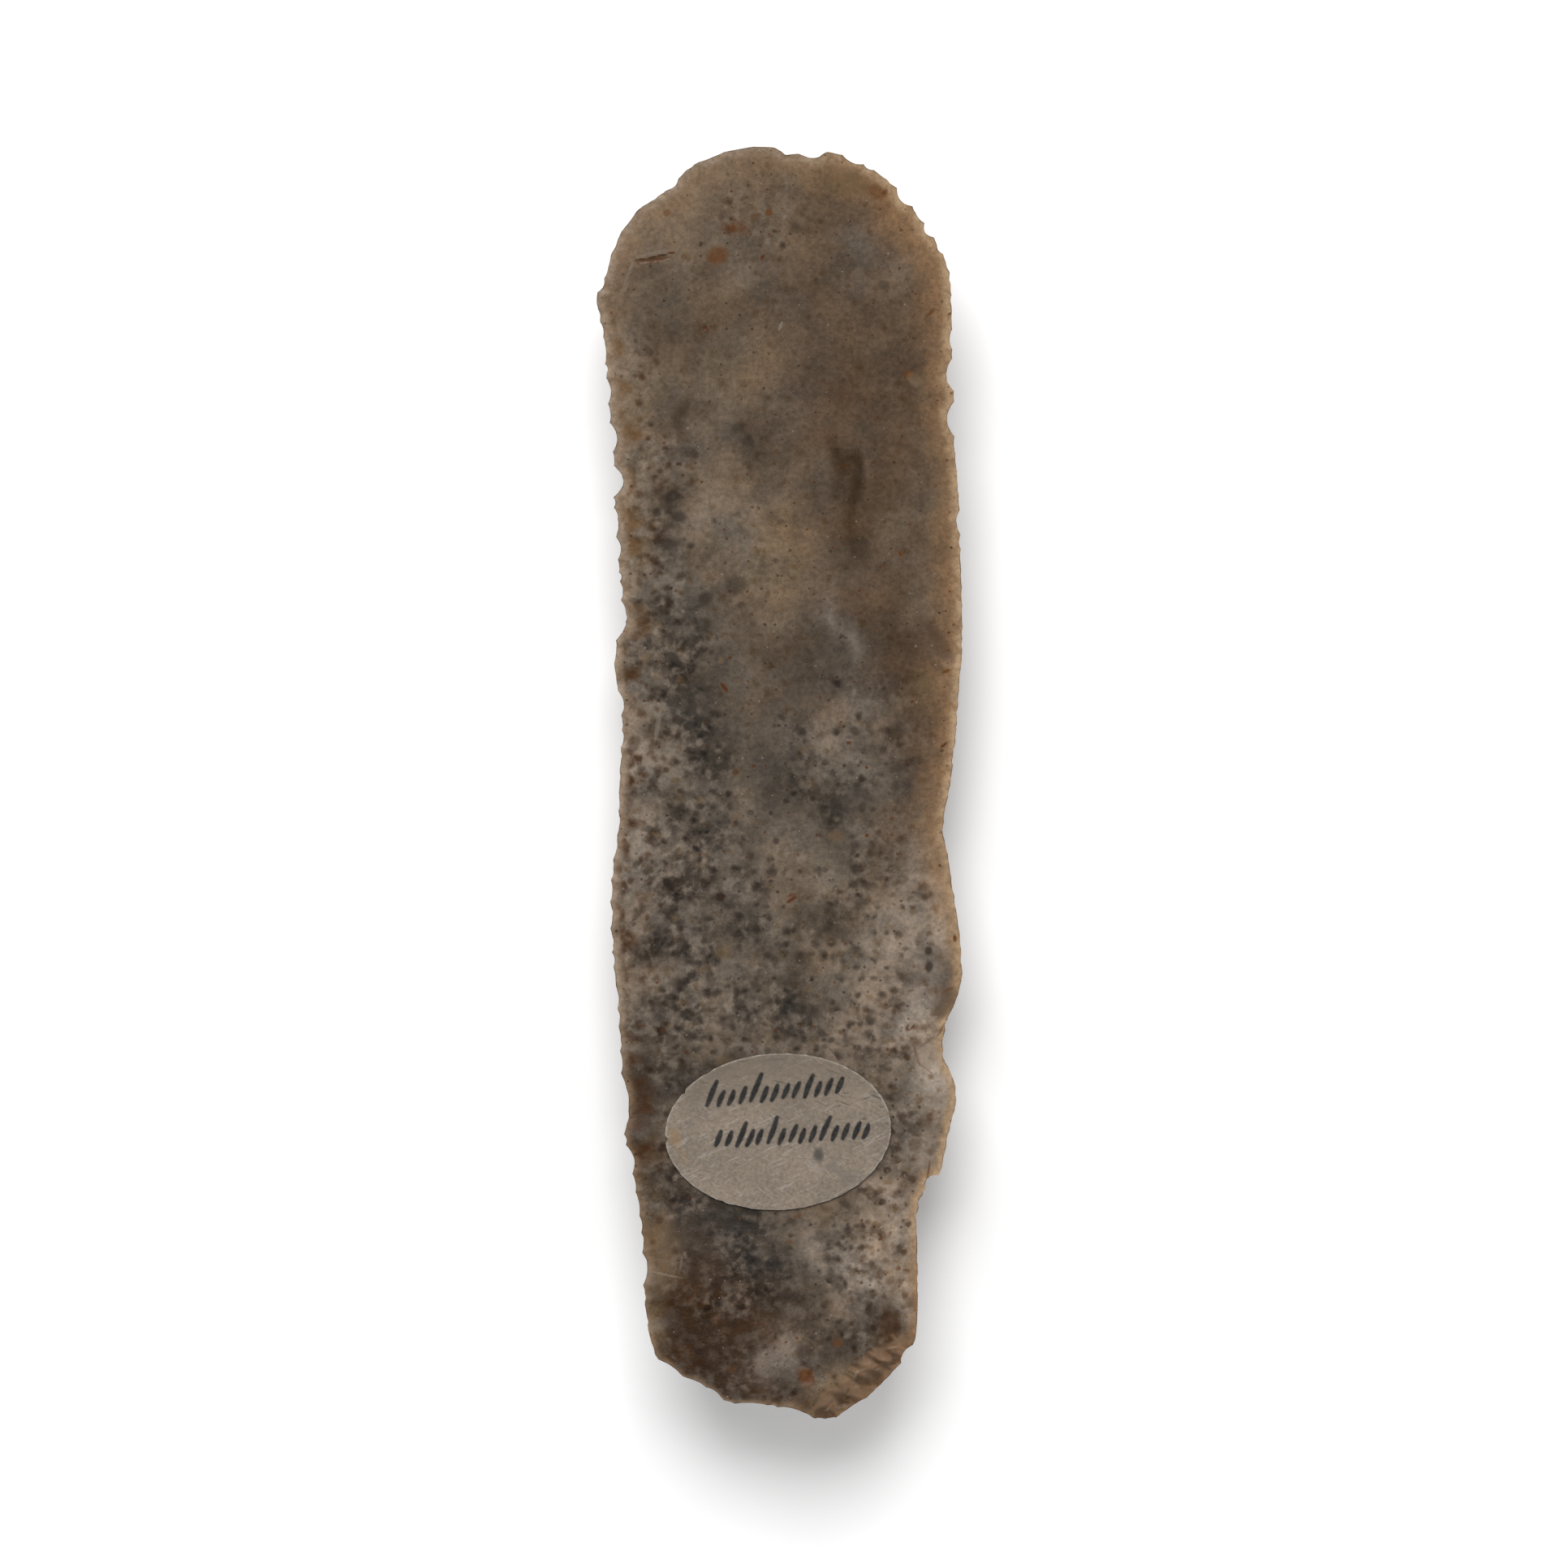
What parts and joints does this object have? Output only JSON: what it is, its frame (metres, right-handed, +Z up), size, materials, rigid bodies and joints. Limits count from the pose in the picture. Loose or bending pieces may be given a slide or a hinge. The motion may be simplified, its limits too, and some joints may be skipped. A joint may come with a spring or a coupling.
{
  "type": "double-ended blade scraper",
  "caption": "Long bowed flint blade with a steep rounded scraper front at each end, a ridged back, a smooth upper face and a small oval paper label glued to it.",
  "frame": {"origin": "below the middle of the blade's box, on the surface that the blade lies on", "axes": "+Y along the blade towards its wider, rounder front, +X to the right as seen from above, +Z up, out of the smooth struck face"},
  "size_m": [0.0324, 0.112, 0.0125],
  "materials": {
    "flint": "satin, grey-brown, mottled",
    "label_paper": "matt, aged"
  },
  "bodies": {
    "root": {"flint_blade": "flint", "paper_label": "label_paper"}
  },
  "joints": []
}
